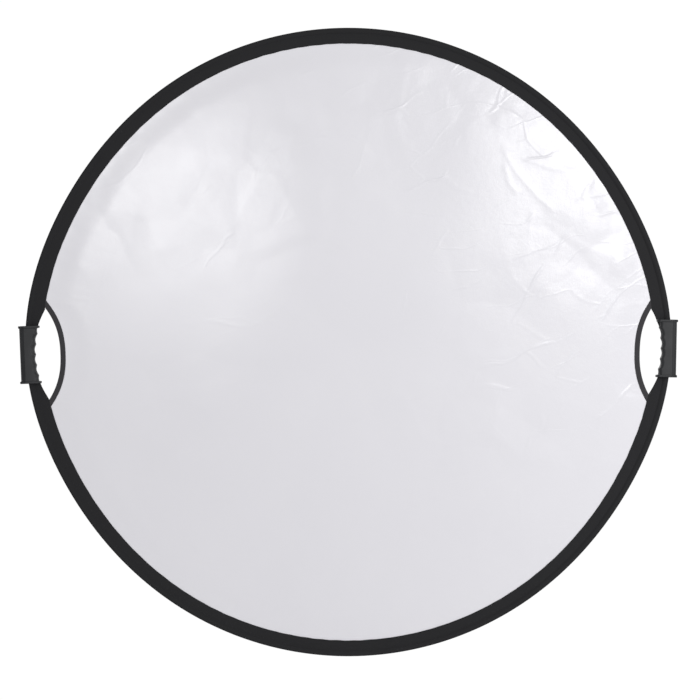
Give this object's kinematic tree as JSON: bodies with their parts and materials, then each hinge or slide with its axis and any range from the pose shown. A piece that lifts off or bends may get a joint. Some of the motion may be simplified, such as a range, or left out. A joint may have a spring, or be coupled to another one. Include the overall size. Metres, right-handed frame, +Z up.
{
  "type": "collapsible reflector disc",
  "caption": "Round two-sided fabric light reflector on a sprung steel hoop, white in front and silver behind, with a moulded hand grip and finger hole at each side.",
  "frame": {"origin": "centre of the disc, midway between the white and silver cloths", "axes": "+Z up the disc, +X to the right seen from the white side, the white side faces -Y"},
  "size_m": [1.1244, 0.0262, 1.07],
  "materials": {
    "white_cloth": "satin coated white cloth with fine fold creases",
    "silver_cloth": "metallised silver cloth, softly creased",
    "black_cloth": "matt black woven cloth",
    "binding_tape": "ribbed black binding tape",
    "grip_plastic": "fine-textured moulded plastic",
    "spring_steel": "rolled spring steel",
    "screw_steel": "blackened steel"
  },
  "bodies": {
    "centre": {"face_white_centre": "white_cloth", "face_silver_centre": "silver_cloth", "rim_sleeve_top_centre": "black_cloth", "rim_sleeve_bottom_centre": "black_cloth", "hoop_top_centre": "spring_steel", "hoop_bottom_centre_left_end": "spring_steel", "hoop_bottom_centre_right_end": "spring_steel", "hoop_ferrule": "spring_steel", "hoop_rivet_left": "screw_steel", "hoop_rivet_right": "screw_steel"},
    "right_1": {"face_white_right_1": "white_cloth", "face_silver_right_1": "silver_cloth", "rim_sleeve_top_right_1": "black_cloth", "rim_sleeve_bottom_right_1": "black_cloth", "hoop_top_right_1": "spring_steel", "hoop_bottom_right_1": "spring_steel"},
    "right_2": {"face_white_right_2": "white_cloth", "face_silver_right_2": "silver_cloth", "rim_sleeve_top_right_2": "black_cloth", "rim_sleeve_bottom_right_2": "black_cloth", "hoop_top_right_2": "spring_steel", "hoop_bottom_right_2": "spring_steel"},
    "right_tip": {"face_white_right_tip": "white_cloth", "face_silver_right_tip": "silver_cloth", "rim_sleeve_right_tip_upper": "black_cloth", "rim_sleeve_right_tip_strand": "black_cloth", "rim_sleeve_right_tip_lower": "black_cloth", "hoop_right_tip": "spring_steel", "handhold_binding_right": "binding_tape", "grip_right_front": "grip_plastic", "grip_right_back": "grip_plastic", "grip_screw_right_1": "screw_steel", "grip_screw_right_2": "screw_steel", "grip_screw_right_3": "screw_steel"},
    "left_1": {"face_white_left_1": "white_cloth", "face_silver_left_1": "silver_cloth", "rim_sleeve_top_left_1": "black_cloth", "rim_sleeve_bottom_left_1": "black_cloth", "hoop_top_left_1": "spring_steel", "hoop_bottom_left_1": "spring_steel"},
    "left_2": {"face_white_left_2": "white_cloth", "face_silver_left_2": "silver_cloth", "rim_sleeve_top_left_2": "black_cloth", "rim_sleeve_bottom_left_2": "black_cloth", "hoop_top_left_2": "spring_steel", "hoop_bottom_left_2": "spring_steel"},
    "left_tip": {"face_white_left_tip": "white_cloth", "face_silver_left_tip": "silver_cloth", "rim_sleeve_left_tip_upper": "black_cloth", "rim_sleeve_left_tip_strand": "black_cloth", "rim_sleeve_left_tip_lower": "black_cloth", "hoop_left_tip": "spring_steel", "handhold_binding_left": "binding_tape", "grip_left_front": "grip_plastic", "grip_left_back": "grip_plastic", "grip_screw_left_1": "screw_steel", "grip_screw_left_2": "screw_steel", "grip_screw_left_3": "screw_steel"}
  },
  "joints": [
    {"name": "curl_right_inner", "type": "hinge", "parent": "centre", "child": "right_1", "pos_m": [0.0825, 0, 0], "axis": [0, 0, -1], "range_deg": [-60, 60], "stiffness_Nm_per_rad": 2},
    {"name": "curl_right_middle", "type": "hinge", "parent": "right_1", "child": "right_2", "pos_m": [0.2425, 0, 0], "axis": [0, 0, -1], "range_deg": [-45, 45], "stiffness_Nm_per_rad": 1.5},
    {"name": "curl_right_outer", "type": "hinge", "parent": "right_2", "child": "right_tip", "pos_m": [0.3975, 0, 0], "axis": [0, 0, -1], "range_deg": [-18, 18], "stiffness_Nm_per_rad": 1},
    {"name": "curl_left_inner", "type": "hinge", "parent": "centre", "child": "left_1", "pos_m": [-0.0825, 0, 0], "axis": [0, 0, 1], "range_deg": [-60, 60], "stiffness_Nm_per_rad": 2},
    {"name": "curl_left_middle", "type": "hinge", "parent": "left_1", "child": "left_2", "pos_m": [-0.2425, 0, 0], "axis": [0, 0, 1], "range_deg": [-45, 45], "stiffness_Nm_per_rad": 1.5},
    {"name": "curl_left_outer", "type": "hinge", "parent": "left_2", "child": "left_tip", "pos_m": [-0.3975, 0, 0], "axis": [0, 0, 1], "range_deg": [-18, 18], "stiffness_Nm_per_rad": 1}
  ],
  "couplings": [
    {"joint": "curl_right_middle", "follows": "curl_right_inner", "ratio": 0.75},
    {"joint": "curl_right_outer", "follows": "curl_right_inner", "ratio": 0.3},
    {"joint": "curl_left_inner", "follows": "curl_right_inner", "ratio": 1},
    {"joint": "curl_left_middle", "follows": "curl_right_inner", "ratio": 0.75},
    {"joint": "curl_left_outer", "follows": "curl_right_inner", "ratio": 0.3}
  ]
}
